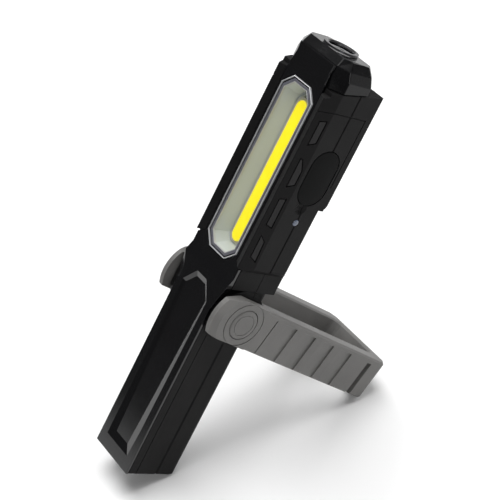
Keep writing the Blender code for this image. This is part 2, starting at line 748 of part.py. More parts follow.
def build_window():
    outer = octagon(WINDOW_HALF, WINDOW_LOW, WINDOW_HIGH, WINDOW_CORNER)
    window = slab("window", outer, "front", 0.0012, 0.0059)
    soften(window, 0.0004)
    margin = 0.0014
    flange = octagon(
        WINDOW_HALF + margin, WINDOW_LOW - margin, WINDOW_HIGH + margin, WINDOW_CORNER + 0.0006
    )
    join(window, slab("window_flange", flange, "front", 0.0056, 0.0064))
    hollow = octagon(
        WINDOW_HALF - margin, WINDOW_LOW + margin, WINDOW_HIGH - margin, WINDOW_CORNER - 0.0006
    )
    cut(window, slab("window_hollow", hollow, "front", 0.0026, 0.008))
    paint(window, CLEAR, 0.04)

    inner = octagon(
        WINDOW_HALF + GAP, WINDOW_LOW - GAP, WINDOW_HIGH + GAP, WINDOW_CORNER
    )
    gasket = slab("window_gasket", flange, "front", 0.0049, 0.0053, holes=[inner])
    paint(gasket, BLACK, 0.8)

    tray = slab("reflector_tray", flange, "front", 0.0067, 0.0104)
    margin = 0.0017
    rim = octagon(
        WINDOW_HALF - margin, WINDOW_LOW + margin, WINDOW_HIGH - margin, WINDOW_CORNER - 0.0007
    )
    join(tray, slab("tray_rim", rim, "front", 0.0029, 0.0072))
    rows = []
    shape = bmesh.new()
    for depth, inset in ((0.0025, 0.0019), (0.0094, 0.0054)):
        outline = octagon(
            WINDOW_HALF - inset, WINDOW_LOW + inset, WINDOW_HIGH - inset, WINDOW_CORNER - inset / 2
        )
        rows.append([shape.verts.new((x, depth, z)) for x, z in outline])
    for index in range(len(rows[0])):
        after = (index + 1) % len(rows[0])
        shape.faces.new((rows[0][index], rows[1][index], rows[1][after], rows[0][after]))
    shape.faces.new(rows[0])
    shape.faces.new(rows[1][::-1])
    bmesh.ops.recalc_face_normals(shape, faces=shape.faces)
    cut(tray, place(mesh_object("tray_hollow", shape), lamp_frame))
    paint(tray, WHITE, 0.45)

    board_half = STRIP_HALF + 0.0016
    outline = octagon(board_half, STRIP_LOW - 0.0012, STRIP_HIGH + 0.0012, 0.0022)
    board = slab("led_board", outline, "front", 0.0083, 0.0091)
    paint(board, WHITE, 0.5)
    strip = box("led_strip", (-STRIP_HALF, 0.0073, STRIP_LOW), (STRIP_HALF, 0.008, STRIP_HIGH))
    paint(strip, YELLOW, 0.5)
    sink = box("heat_sink", (-0.01, 0.0107, 0.112), (0.01, 0.0122, 0.178))
    paint(sink, ALUMINIUM, 0.4, 1.0)


def build_inserts():
    for side, word in ((1, "right"), (-1, "left")):
        for index, outline in enumerate(INSERT_OUTLINES, 1):
            name = f"grip_insert_{word}_{index}"
            insert = cheek_slab(name, shrunk(outline, INSERT_GROOVE), side, INSERT_DEPTH - GAP, 0.0)
            paint(insert, INSERT_BLACK, 0.6)


def build_electrics():
    board = box("control_board", (-0.0145, 0.019, 0.11), (0.0145, 0.0202, 0.176))
    paint(board, BOARD_GREEN, 0.5)
    switch = box("tact_switch", (0.0098, 0.0149, BUTTON_Z - 0.003), (0.0132, 0.0187, BUTTON_Z + 0.003))
    plunger = rod("switch_plunger", 0.0012, 0.0125, 0.0147, "right", (0, BUTTON_Y, BUTTON_Z), 12)
    paint(join(switch, plunger), STEEL, 0.4, 1.0)
    pipe = rod("light_pipe", 0.00145, 0.0146, HEAD_HALF + 0.0002, "right", (0, BUTTON_Y, PIPE_Z), 20)
    paint(pipe, (0.55, 0.62, 0.75), 0.2)

    socket = box("charge_socket", (-0.0163, 0.0159, PORT_Z - 0.004), (-0.0108, 0.0187, PORT_Z + 0.004))
    cut(socket, box("socket_mouth", (-0.018, 0.0164, PORT_Z - 0.0034), (-0.0125, 0.0182, PORT_Z + 0.0034)))
    paint(socket, STEEL, 0.3, 1.0)

    paint(rod("battery_cell", CELL_RADIUS, CELL_LOW, CELL_HIGH, "up", (0, CELL_Y, 0)), (0.1, 0.2, 0.5))
    tab_half = 0.0035
    for name, low in (("battery_tab_top", CELL_HIGH + GAP), ("battery_tab_bottom", CELL_LOW - 0.0006)):
        tab = box(name, (-tab_half, CELL_Y - 0.006, low), (tab_half, CELL_Y + 0.006, low + GAP))
        paint(tab, STEEL, 0.35, 1.0)

    for side, word, colour in ((1, "red", (0.5, 0.01, 0.01)), (-1, "black", BLACK)):
        run = [(side * 0.0012, 0.0135, 0.1936), (side * 0.0012, 0.0135, 0.187)]
        run += [(side * 0.003, 0.0155, 0.18), (side * 0.0035, 0.0178, 0.173)]
        paint(lead(f"torch_lead_{word}", run, 0.0006), colour, 0.5)
        run = [(side * 0.0025, 0.0155, 0.0753), (side * 0.0027, 0.016, 0.088)]
        run += [(side * 0.0035, 0.0168, 0.1), (side * 0.004, 0.0178, 0.113)]
        paint(lead(f"battery_lead_{word}", run, 0.0006), colour, 0.5)


def build_button():
    travel_axis = new_empty("button_axis", lamp_frame, (HEAD_HALF, BUTTON_Y, BUTTON_Z))
    outline = stadium(BUTTON_HALF_WIDTH - GAP, BUTTON_HALF_LENGTH - GAP, (0, 0))
    button = slab("switch_button", outline, "side", -0.0022, 0.0002, parent=travel_axis)
    soften(button, 0.0005)
    outline = stadium(BUTTON_HALF_WIDTH + 0.0008, BUTTON_HALF_LENGTH + 0.0008, (0, 0))
    join(button, slab("button_flange", outline, "side", -0.003, -0.0023 + 0.0002, parent=travel_axis))
    return paint(button, BLACK, 0.5)


def build_charge_cover():
    hinge_z = PORT_Z - PORT_HALF_LENGTH + GAP
    hinge = new_empty("cover_hinge", lamp_frame, (-HEAD_HALF, PORT_Y, hinge_z))
    rise = PORT_HALF_LENGTH - GAP
    outline = stadium(PORT_HALF_WIDTH - GAP, PORT_HALF_LENGTH - GAP, (0, rise), 6)
    cover = slab("charge_cover", outline, "side", -0.0002, 0.0013, parent=hinge)
    plug = box("cover_plug", (0.001, -0.0007, rise - 0.0032), (0.0019, 0.0007, rise + 0.0032), hinge)
    return paint(join(cover, plug), BLACK, 0.7)


def build_hook():
    hinge = new_empty("hook_hinge", lamp_frame, (0, HOOK_Y, HOOK_Z))
    reach = HOOK_Z - HOOK_LOW
    outer, inner = HOOK_HALF - GAP, HOOK_HALF - 0.0042
    bend = -(reach - outer)
    outline = [(outer, 0.0), (-outer, 0.0), (-outer, bend)]
    for step in range(1, 13):
        angle = math.pi + math.pi * step / 12
        outline.append((outer * math.cos(angle), bend + outer * math.sin(angle)))
    outline += [(outer, bend + 0.0075), (inner, bend + 0.0075), (inner, bend)]
    for step in range(1, 13):
        angle = -math.pi * step / 12
        outline.append((inner * math.cos(angle), bend + inner * math.sin(angle)))
    outline += [(-inner, -0.004), (outer, -0.004)]
    hook = slab("hook", outline, "front", -0.0013, 0.0013, parent=hinge)
    knuckle = rod("hook_knuckle", 0.0017, -outer, outer, "right", steps=20, parent=hinge)
    join(hook, knuckle)
    cut(hook, rod("hook_bore", 0.0013, -0.02, 0.02, "right", steps=16, parent=hinge, twist=TWIST))
    paint(hook, STAND_GREY, 0.5)
    pin = rod("hook_pin", 0.001, -0.011, 0.011, "right", (0, HOOK_Y, HOOK_Z), 16)
    paint(pin, STEEL, 0.3, 1.0)


def build_screws():
    for index, (x, z, top, length) in enumerate(SCREWS, 1):
        seat = top - SCREW_HEAD_HEIGHT
        profile = [(0, top), (SCREW_HEAD_RADIUS, top), (SCREW_HEAD_RADIUS, seat)]
        profile += [(SCREW_RADIUS, seat), (SCREW_RADIUS, seat - length), (0, seat - length)]
        screw = turned(f"housing_screw_{index}", profile, "back", (x, 0, z), 16)
        name = f"screw_socket_{index}"
        socket = rod(name, 0.0012, top - 0.001, top + 0.001, "back", (x, 0, z), 6, twist=TWIST)
        paint(cut(screw, socket), STEEL, 0.35, 1.0)


def build_magnet():
    magnet = rod("rear_magnet", MAGNET_RADIUS, 0.0254, 0.0279, "back", (0, 0, MAGNET_Z), 32)
    return paint(magnet, STEEL, 0.25, 1.0)


def hub_body(side, word):
    """One hub: a round plate outside the housing's ear."""
    profile = [
        (0, STAND_OUTER),
        (HUB_FACE_RADIUS, STAND_OUTER),
        (HUB_RADIUS, STAND_OUTER - HUB_BEVEL),
        (HUB_RADIUS, STAND_PLATE),
        (0, STAND_PLATE),
    ]
    hub = turned(f"hub_{word}", profile, "right" if side > 0 else "left", steps=48, parent=stand_pivot)
    reach = HUB_RADIUS + 0.001
    for edge in (1, -1):
        low, high = sorted((edge * STAND_HALF, edge * 0.025))
        trim = box(f"hub_trim_{word}_{edge}", (-0.03, -reach, low), (0.03, reach, high), stand_pivot)
        cut(hub, trim)
    return hub


def hub_bore(word):
    """The screw's bore, the recess for its head, the cap's recess and a ring groove round it."""
    profile = [
        (0, STAND_OUTER + 0.002),
        (CAP_RADIUS + GAP, STAND_OUTER + 0.002),
        (CAP_RADIUS + GAP, 0.0206),
        (0.0046, 0.0206),
        (0.0046, 0.0192),
        (0.0025, 0.0192),
        (0.0025, STAND_PLATE - 0.002),
        (0, STAND_PLATE - 0.002),
    ]
    bore = turned(f"hub_bore_{word}", profile, word, steps=32, parent=stand_pivot, twist=TWIST)
    groove = ring(
        f"hub_groove_{word}", 0.0104, 0.0098, STAND_OUTER - 0.0004, STAND_OUTER + 0.001, word,
        steps=48, parent=stand_pivot, twist=TWIST,
    )
    return bore, groove


def build_stand():
    corner = STAND_REACH - STAND_CORNER
    bar = STAND_REACH - STAND_BAR
    fillet = 0.003
    half = [
        (STAND_INNER, -0.006),
        (STAND_OUTER, -0.006),
        (STAND_OUTER, corner),
        (STAND_OUTER - STAND_CORNER, STAND_REACH),
    ]
    inner = [(STAND_INNER - fillet, bar), (STAND_INNER, bar - fillet)]
    outline = half + [(-x, y) for x, y in reversed(half)]
    outline += [(-x, y) for x, y in reversed(inner)] + inner
    frame = slab("stand_frame", outline, "top", -STAND_HALF, STAND_HALF, parent=stand_pivot)
    soften(frame, STAND_EDGE)
    for word in ("right", "left"):
        name = f"ear_room_{word}"
        cut(frame, rod(name, EAR_RADIUS + GAP, 0.011, STAND_PLATE, word, steps=48, parent=stand_pivot, twist=TWIST))
    join(frame, hub_body(1, "right"), hub_body(-1, "left"))
    corner_outline = [(-0.019, 0.0025), (-0.0146, 0.0071), (-0.0085, 0.0098), (-0.004, 0.0112), (-0.019, 0.0112)]
    cut(frame, slab("hub_corner", corner_outline, "side", -0.03, 0.03, parent=stand_pivot))
    for word in ("right", "left"):
        cut(frame, *hub_bore(word))
    for side in (1, -1):
        outside = side * (STAND_OUTER + 0.0004)
        deep = side * (STAND_OUTER - RIB_DEPTH)
        for index in range(RIB_COUNT):
            end = RIB_FIRST + RIB_PITCH * index
            wedge = [(deep, end), (outside, end), (outside, end - RIB_PITCH)]
            name = f"rib_{side}_{index}"
            if index:
                cut(frame, slab(name, wedge, "top", -0.011, 0.0078, parent=stand_pivot))
        slot_low, slot_high = 0.0866, 0.0896
        low, high = sorted((side * (STAND_OUTER - 0.0024), outside))
        cut(frame, box(f"end_slot_{side}", (low, slot_low, -0.011), (high, slot_high, 0.0072), stand_pivot))
        first = RIB_FIRST
        low, high = sorted((deep, outside))
        cut(frame, box(f"first_rib_{side}", (low, first - 0.0008, -0.011), (high, first, 0.0078), stand_pivot))
    return paint(frame, STAND_GREY, 0.5)


def build_pivots():
    for side, word in ((1, "right"), (-1, "left")):
        cap = [(0, 0.0225), (CAP_RADIUS - 0.0006, 0.0225), (CAP_RADIUS, 0.0219), (CAP_RADIUS, 0.0209), (0, 0.0209)]
        paint(turned(f"hub_cap_{word}", cap, word, steps=32, parent=stand_pivot), STAND_GREY, 0.45)
        screw = [(0, 0.0205), (0.0042, 0.0205), (0.0042, 0.0194), (0.0022, 0.0194)]
        screw += [(0.0022, 0.0168), (0.0016, 0.0168), (0.0016, 0.0122), (0, 0.0122)]
        shaft = turned(f"pivot_screw_{word}", screw, word, (0, HUB_Y, HUB_Z), 24)
        name = f"pivot_socket_{word}"
        socket = rod(name, 0.0018, 0.0198, 0.022, word, (0, HUB_Y, HUB_Z), 6, twist=TWIST)
        paint(cut(shaft, socket), STEEL, 0.3, 1.0)
        washer = ring(f"pivot_washer_{word}", 0.006, 0.0025, 0.0168, 0.0174, word, (0, HUB_Y, HUB_Z))
        paint(washer, WHITE, 0.5)
        insert = ring(f"pivot_insert_{word}", 0.0026, 0.0019, 0.0119, 0.0161, word, (0, HUB_Y, HUB_Z), 24)
        paint(insert, BRASS, 0.3, 1.0)


def centre_on_ground():
    """Moves the lamp's frame so that the whole light stands on Z = 0, centred on the origin."""
    bpy.context.view_layer.update()
    graph = bpy.context.evaluated_depsgraph_get()
    low = Vector((math.inf,) * 3)
    high = -low
    for obj in parts.objects:
        if obj.type == "EMPTY":
            continue
        solid = obj.evaluated_get(graph)
        mesh = solid.to_mesh()
        for vertex in mesh.vertices:
            at = solid.matrix_world @ vertex.co
            low = Vector(map(min, low, at))
            high = Vector(map(max, high, at))
        solid.to_mesh_clear()
    lamp_frame.location -= Vector(((low.x + high.x) / 2, (low.y + high.y) / 2, low.z))


clear_scene()
parts = new_collection("work_light")
cutters = new_collection("cutters")
lamp_frame = new_empty("lamp_frame", rotation=(-LEAN, 0, 0))
stand_pivot = new_empty("stand_pivot", lamp_frame, (0, HUB_Y, HUB_Z), (-STAND_DROOP, 0, 0))

seam_openings = housing_openings()
build_front_shell(seam_openings)
build_rear_shell(seam_openings)
build_fascia()
build_nose()
build_window()
build_inserts()
build_electrics()
build_button()
build_charge_cover()
build_hook()
build_screws()
build_magnet()
build_stand()
build_pivots()
centre_on_ground()
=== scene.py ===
"""Looks of the rechargeable LED work light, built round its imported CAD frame.

New pieces are drawn in the lamp's own axes: X to its right, Y from front to back and Z along its
length. lamp_matrix turns those axes into the frame's, in which the lamp leans back on its stand.
"""

import json
import math

import bmesh
import bpy
from mathutils import Matrix, Vector


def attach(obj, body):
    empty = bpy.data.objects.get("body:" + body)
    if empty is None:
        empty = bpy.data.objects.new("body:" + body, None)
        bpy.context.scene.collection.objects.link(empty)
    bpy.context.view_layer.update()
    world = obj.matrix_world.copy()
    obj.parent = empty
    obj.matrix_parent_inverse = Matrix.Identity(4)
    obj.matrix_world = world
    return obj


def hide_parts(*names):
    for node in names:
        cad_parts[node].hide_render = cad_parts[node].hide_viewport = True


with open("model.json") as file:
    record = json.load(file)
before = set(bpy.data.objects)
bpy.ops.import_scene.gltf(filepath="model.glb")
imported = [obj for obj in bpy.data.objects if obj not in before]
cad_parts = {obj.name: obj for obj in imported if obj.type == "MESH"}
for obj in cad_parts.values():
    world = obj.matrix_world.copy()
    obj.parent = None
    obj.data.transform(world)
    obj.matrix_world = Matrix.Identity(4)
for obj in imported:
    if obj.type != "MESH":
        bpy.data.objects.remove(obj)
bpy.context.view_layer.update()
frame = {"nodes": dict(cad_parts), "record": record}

nodes = frame["nodes"]
record = frame["record"]

# The stand's pivot in the lamp's axes, which ties them to the frame.
PIVOT_Y = 0.0134
PIVOT_Z = 0.085

# The window's flange under the fascia, how far its corners are cut off, and how much of an inset
# comes off that cut.
WINDOW_FLANGE = 0.0014
WINDOW_CORNER = 0.0052
CORNER_PER_INSET = 0.42

# The bands round the window paint how its clear wall looks edge on. They are pale painted highlight
# lines at the outer edge and inner rim, a black band of painted shade and a lavender band of painted
# reflection. Columns: name, outer and inner inset, front and back as depths below the window's face,
# and finish. BAND_EASE takes off their front edges.
WINDOW_BANDS = (
    # painted highlight along the window's outer edge
    ("edge", 0.00005, 0.00035, 0.0001, 0.0012, "painted_edge_highlight"),
    # painted shade: a black band where the clear wall looks dark
    ("band_outer_painted_shade", 0.0004, 0.0009, 0.0007, 0.0015, "gloss"),
    # painted reflection: the lavender sheen of the clear wall seen edge on
    ("band_middle_painted_reflection", 0.0010, 0.0020, 0.0005, 0.0015, "wall"),
    # painted highlight along the window's inner rim
    ("band_inner_painted_highlight", 0.0021, 0.0024, 0.0006, 0.0015, "painted_edge_highlight"),
)
BAND_EASE = 0.0001

# The button: the groove round its face and that groove's floor above the base, how far the face
# sits below the CAD node's, and the rise of its crown.
BUTTON_GROOVE = 0.0011
BUTTON_GROOVE_FLOOR = 0.0009
BUTTON_SINK = 0.0002
BUTTON_CROWN = 0.0002

# The charging flap: its plug's half width and half length, and the rise of its crown.
FLAP_PLUG = (0.0007, 0.0032)
FLAP_CROWN = 0.0001

# Edges: the width that looks rubbed, and the angle from which a CAD node's edge is rounded.
WEAR_WIDTH = 0.00035
EDGE_ANGLE = math.radians(32)
EDGE_SEGMENTS = 2

# The distance within which imported points are joined, the angle up to which a new piece is
# shaded smooth, and the points round a turned piece.
WELD_DISTANCE = 0.000002
SMOOTH_ANGLE = math.radians(40)
TURN_STEPS = 48

# The camera in the lamp's axes: where it stands, what is to its right and what is behind it.
CAMERA_AT = (0.4661, -0.4674, 0.3326)
CAMERA_RIGHT = (0.54422, 0.71932, 0.43175)
CAMERA_BACK = (0.65675, -0.68551, 0.31427)
LENS = 119.8
SENSOR_WIDTH = 36
CLIP = (0.05, 20)

# The studio: the floor's half width, the sky's strength, and each light's place, size and power.
FLOOR_HALF = 4.0
FLOOR_DROP = 0.0002
SKY_STRENGTH = 0.1
LIGHT_TARGET = (0, 0, 0.09)
LIGHTS = (
    ("overhead", (-0.3, 0.1, 1.7), 1.6, 34),
    ("left", (-1.5, 0.25, 0.9), 0.7, 9),
    ("right", (1.3, -0.5, 0.9), 0.6, 6),
    ("behind", (0.5, 1.3, 1.0), 0.8, 6),
)


def joint(name):
    for row in record["behaviour"]["joints"]:
        if row["name"] == name:
            return row
    raise KeyError(name)


def lamp_axes():
    """The matrix from the lamp's axes to the frame's."""
    mounts = {row["name"]: row for row in record["mounts"]}
    depth = Vector(mounts["magnet_face"]["axis"]).normalized()
    right = Vector((1, 0, 0))
    along = right.cross(depth)
    turn = Matrix((right, depth, along)).transposed().to_4x4()
    pivot = Vector(joint("stand_turn")["pos_m"])
    origin = pivot - turn.to_3x3() @ Vector((0, PIVOT_Y, PIVOT_Z))
    return Matrix.Translation(origin) @ turn


lamp_matrix = lamp_axes()
to_lamp = lamp_matrix.inverted()


def lamp_box(name):
    """Lowest and highest corner of a CAD node along the lamp's axes."""
    points = [to_lamp @ vertex.co for vertex in nodes[name].data.vertices]
    low = Vector(min(point[axis] for point in points) for axis in range(3))
    high = Vector(max(point[axis] for point in points) for axis in range(3))
    return low, high


# ---------------------------------------------------------------- materials


class Graph:
    """A material's node tree, with the few steps that the finishes share."""

    def __init__(self, name):
        self.material = bpy.data.materials.new(name)
        self.material.use_nodes = True
        self.nodes = self.material.node_tree.nodes
        self.links = self.material.node_tree.links
        self.shader = self.nodes["Principled BSDF"]
        self.place = self.nodes.new("ShaderNodeTexCoord").outputs["Object"]

    def link(self, source, target):
        self.links.new(source, target)

    def noise(self, size, detail=3.0, stretch=(1, 1, 1)):
        """Noise whose blotches are about that many metres across."""
        mapping = self.nodes.new("ShaderNodeMapping")
        mapping.inputs["Scale"].default_value = stretch
        self.link(self.place, mapping.inputs["Vector"])
        noise = self.nodes.new("ShaderNodeTexNoise")
        noise.inputs["Scale"].default_value = 1.0 / size
        noise.inputs["Detail"].default_value = detail
        self.link(mapping.outputs["Vector"], noise.inputs["Vector"])
        return noise.outputs["Fac"]

    def spread(self, source, low, high, start=0.3, end=0.7):
        """The source's values from start to end, moved to run from low to high."""
        step = self.nodes.new("ShaderNodeMapRange")
        step.inputs["From Min"].default_value = start
        step.inputs["From Max"].default_value = end
        step.inputs["To Min"].default_value = low
        step.inputs["To Max"].default_value = high
        self.link(source, step.inputs["Value"])
        return step.outputs["Result"]

    def times(self, first, second):
        """The product of two sockets, or of a socket and a number."""
        step = self.nodes.new("ShaderNodeMath")
        step.operation = "MULTIPLY"
        self.link(first, step.inputs[0])
        if isinstance(second, float):
            step.inputs[1].default_value = second
        else:
            self.link(second, step.inputs[1])
        return step.outputs[0]

    def blend(self, amount, first, second):
        """A colour between two others, each a socket or three numbers."""
        step = self.nodes.new("ShaderNodeMix")
        step.data_type = "RGBA"
        self.link(amount, step.inputs["Factor"])
        for socket, colour in ((step.inputs[6], first), (step.inputs[7], second)):
            if isinstance(colour, tuple):
                socket.default_value = (*colour, 1.0)
            else:
                self.link(colour, socket)
        return step.outputs[2]

    def edges(self, width):
        """1 along the piece's edges and 0 elsewhere."""
        rounded = self.nodes.new("ShaderNodeBevel")
        rounded.samples = 6
        rounded.inputs["Radius"].default_value = width
        flat = self.nodes.new("ShaderNodeNewGeometry")
        dot = self.nodes.new("ShaderNodeVectorMath")
        dot.operation = "DOT_PRODUCT"
        self.link(rounded.outputs["Normal"], dot.inputs[0])
        self.link(flat.outputs["Normal"], dot.inputs[1])
        return self.spread(dot.outputs["Value"], 1.0, 0.0, 0.86, 0.995)

    def bump(self, source, depth):
        step = self.nodes.new("ShaderNodeBump")
        step.inputs["Distance"].default_value = depth
        self.link(source, step.inputs["Height"])
        self.link(step.outputs["Normal"], self.shader.inputs["Normal"])

    def set(self, **values):
        for name, value in values.items():
            socket = self.shader.inputs[name.replace("_", " ")]
            socket.default_value = (*value, 1.0) if isinstance(value, tuple) else value


def scaled(colour, factor):
    return tuple(min(1.0, part * factor) for part in colour)


def finish(
    name, colour, roughness, grain, depth, wear, worn=None, mottle=0.15, stretch=(1, 1, 1), **values
):
    """A worked surface: fine grain, slow changes of tone and gloss, and rubbed edges.

    grain is the size of the fine grain, depth its height, and wear how much of the edges shows the
    colour worn. stretch draws the grain out along an axis, as brushing does.
    """
    graph = Graph(name)
    slow = graph.noise(0.018, 4.0)
    fine = graph.noise(grain, 2.0, stretch)
    tone = graph.blend(
        graph.spread(slow, 0.0, 1.0), scaled(colour, 1 - mottle), scaled(colour, 1 + mottle)
    )
    patches = graph.spread(graph.noise(0.003, 4.0), 0.0, wear)
    rubbed = graph.times(graph.edges(WEAR_WIDTH), patches)
    worn = worn or tuple(0.5 * part + 0.08 for part in colour)
    graph.link(graph.blend(rubbed, tone, worn), graph.shader.inputs["Base Color"])
    matte = graph.times(graph.spread(slow, 0.85, 1.15), graph.spread(fine, 0.9, 1.1))
    graph.link(graph.times(matte, roughness), graph.shader.inputs["Roughness"])
    graph.bump(fine, depth)
    graph.set(**values)
    return graph.material


def clear_cover(name, tint, faint, strong):
    """Clear plastic: almost nothing face on and more towards grazing angles, with hairline scuffs."""
    graph = Graph(name)
    weight = graph.nodes.new("ShaderNodeLayerWeight")
    weight.inputs["Blend"].default_value = 0.35
    film = graph.spread(weight.outputs["Fresnel"], faint, strong, 0.0, 0.9)
    graph.link(film, graph.shader.inputs["Alpha"])
    scuffs = graph.noise(0.0016, 6.0, (1, 6, 1))
    graph.link(graph.spread(scuffs, 0.02, 0.09), graph.shader.inputs["Roughness"])
    graph.link(
        graph.blend(graph.noise(0.02), scaled(tint, 0.95), tint), graph.shader.inputs["Base Color"]
    )
    graph.set(IOR=1.49, Coat_Weight=0.4, Coat_Roughness=0.03)
    return graph.material


def phosphor(name):
    """Silicone phosphor over a row of chips, which show as slightly brighter cells, with a faint
    painted glow.
    """
    graph = Graph(name)
    cells = graph.nodes.new("ShaderNodeTexVoronoi")
    cells.inputs["Scale"].default_value = 420
    graph.link(graph.place, cells.inputs["Vector"])
    near = graph.spread(cells.outputs["Distance"], 0.0, 1.0, 0.1, 0.8)
    tone = graph.blend(near, (1.0, 0.87, 0.02), (0.95, 0.8, 0.015))
    graph.link(tone, graph.shader.inputs["Base Color"])
    graph.link(tone, graph.shader.inputs["Emission Color"])
    graph.link(graph.spread(graph.noise(0.002), 0.3, 0.45), graph.shader.inputs["Roughness"])
    graph.bump(graph.noise(0.0008, 2.0), 0.00004)
    # Painted glow: a faint emission makes the unlit phosphor brighter than its colour alone.
    graph.set(Emission_Strength=0.6)
    return graph.material


def circuit_board(name):
    """Solder mask with paler traces."""
    graph = Graph(name)
    traces = graph.nodes.new("ShaderNodeTexBrick")
    traces.inputs["Scale"].default_value = 160
    traces.inputs["Color1"].default_value = (0.015, 0.13, 0.05, 1)
    traces.inputs["Color2"].default_value = (0.02, 0.17, 0.06, 1)
    traces.inputs["Mortar"].default_value = (0.05, 0.3, 0.12, 1)
    graph.link(graph.place, traces.inputs["Vector"])
    graph.link(traces.outputs["Color"], graph.shader.inputs["Base Color"])
    graph.link(graph.spread(graph.noise(0.002), 0.3, 0.5), graph.shader.inputs["Roughness"])
    graph.bump(traces.outputs["Fac"], 0.00003)
    return graph.material


def make_materials():
    black = (0.0062, 0.006, 0.0062)
    metal = {"Metallic": 1.0}
    return {
        "housing": finish(
            "housing_black", black,
            roughness=0.5, grain=0.00035, depth=0.000035, wear=0.5,
            worn=(0.035, 0.035, 0.037), Specular_IOR_Level=0.12,
        ),
        "gloss": finish(
            "gloss_black", (0.0022, 0.0022, 0.0028),
            roughness=0.11, grain=0.0012, depth=0.000004, wear=0.35,
            worn=(0.03, 0.03, 0.034), Coat_Weight=0.3, Coat_Roughness=0.05,
            Specular_IOR_Level=0.45,
        ),
        "nose": finish(
            "nose_black", (0.0025, 0.0025, 0.003),
            roughness=0.24, grain=0.0009, depth=0.000006, wear=0.6,
            worn=(0.06, 0.06, 0.065), Specular_IOR_Level=0.28,
        ),
        "insert": finish(
            "insert_black", (0.018, 0.0175, 0.018),
            roughness=0.55, grain=0.0005, depth=0.00004, wear=0.4,
            worn=(0.05, 0.05, 0.052), Specular_IOR_Level=0.22,
        ),
        "button": finish(
            "button_black", (0.0022, 0.0024, 0.0024),
            roughness=0.4, grain=0.0003, depth=0.00003, wear=0.4,
            worn=(0.02, 0.02, 0.022), Specular_IOR_Level=0.06,
        ),
        "stand": finish(
            "stand_grey", (0.135, 0.132, 0.127),
            roughness=0.55, grain=0.0004, depth=0.00004, wear=0.65,
            worn=(0.33, 0.33, 0.32), Specular_IOR_Level=0.45,
        ),
        "bezel": finish(
            "bezel_metal", (0.1, 0.1, 0.105),
            roughness=0.3, grain=0.0006, depth=0.000008, wear=0.5,
            worn=(0.7, 0.7, 0.7), stretch=(1, 8, 1), **metal,
        ),
        "steel": finish(
            "hardware_steel", (0.5, 0.51, 0.53),
            roughness=0.32, grain=0.0005, depth=0.00001, wear=0.5,
            worn=(0.75, 0.75, 0.76), stretch=(6, 1, 1), **metal,
        ),
        "nickel": finish(
            "magnet_nickel", (0.62, 0.61, 0.58),
            roughness=0.2, grain=0.0009, depth=0.000006, wear=0.4,
            worn=(0.8, 0.8, 0.78), **metal,
        ),
        "brass": finish(
            "insert_brass", (0.6, 0.42, 0.16),
            roughness=0.3, grain=0.0004, depth=0.00001, wear=0.4,
            worn=(0.8, 0.65, 0.35), **metal,
        ),
        "aluminium": finish(
            "board_aluminium", (0.68, 0.69, 0.7),
            roughness=0.38, grain=0.0004, depth=0.00001, wear=0.3,
            worn=(0.85, 0.85, 0.85), stretch=(1, 1, 8), **metal,
        ),
        "board_white": finish(
            "led_board_mask", (0.62, 0.63, 0.6),
            roughness=0.4, grain=0.0005, depth=0.00001, wear=0.2,
            worn=(0.75, 0.75, 0.7),
        ),
        "tray": finish(
            "tray_white", (0.66, 0.71, 0.7),
            roughness=0.34, grain=0.0011, depth=0.000008, wear=0.5,
            worn=(0.8, 0.82, 0.79), mottle=0.04,
        ),
        "rubber": finish(
            "seal_rubber", (0.014, 0.014, 0.014),
            roughness=0.75, grain=0.0003, depth=0.00005, wear=0.3,
            worn=(0.04, 0.04, 0.04), Sheen_Weight=0.15, Sheen_Roughness=0.4,
        ),
        "washer": finish(
            "washer_white", (0.7, 0.7, 0.67),
            roughness=0.45, grain=0.0004, depth=0.00001, wear=0.2,
            worn=(0.8, 0.8, 0.78),
        ),
        "sleeve": finish(
            "cell_sleeve", (0.05, 0.14, 0.4),
            roughness=0.28, grain=0.0008, depth=0.00001, wear=0.2,
            worn=(0.2, 0.3, 0.5),
        ),
        "red": finish(
            "lead_red", (0.42, 0.012, 0.01),
            roughness=0.45, grain=0.0004, depth=0.00001, wear=0.1,
            worn=(0.5, 0.1, 0.1),
        ),
        "wire_black": finish(
            "lead_black", (0.01, 0.01, 0.01),
            roughness=0.45, grain=0.0004, depth=0.00001, wear=0.1,
        ),
        "mirror": finish(
            "bright_reflector", (0.8, 0.81, 0.82),
            roughness=0.12, grain=0.001, depth=0.000006, wear=0.2,
            worn=(0.9, 0.9, 0.9), **metal,
        ),
        "indicator": finish(
            "indicator_clear", (0.09, 0.11, 0.16),
            roughness=0.15, grain=0.0006, depth=0.000006, wear=0.2,
            worn=(0.5, 0.55, 0.65), Coat_Weight=0.5,
        ),
        # Painted shade: the torch lens is a nearly opaque dark film that stands in for the dark
        # inside of the torch.
        "lens": clear_cover("torch_lens_clear_painted_shade", (0.03, 0.032, 0.036), 0.72, 0.97),
        "cover": clear_cover("clear_cover", (0.1, 0.1, 0.11), 0.015, 0.4),
        # Painted highlight: the pale lines on the window's edge and inner rim.
        "painted_edge_highlight": finish(
            "cover_edge_painted_highlight", (0.62, 0.63, 0.64),
            roughness=0.2, grain=0.0008, depth=0.000006, wear=0.2,
            worn=(0.8, 0.8, 0.8), mottle=0.05,
        ),
        # Painted reflection: the lavender band that the window's clear wall shows edge on.
        "wall": finish(
            "cover_wall_painted_reflection", (0.17, 0.17, 0.2),
            roughness=0.25, grain=0.0008, depth=0.000006, wear=0.3,
            worn=(0.3, 0.3, 0.33), mottle=0.1,
        ),
        "phosphor": phosphor("phosphor_yellow"),
        "circuit": circuit_board("board_green"),
    }


finishes = make_materials()

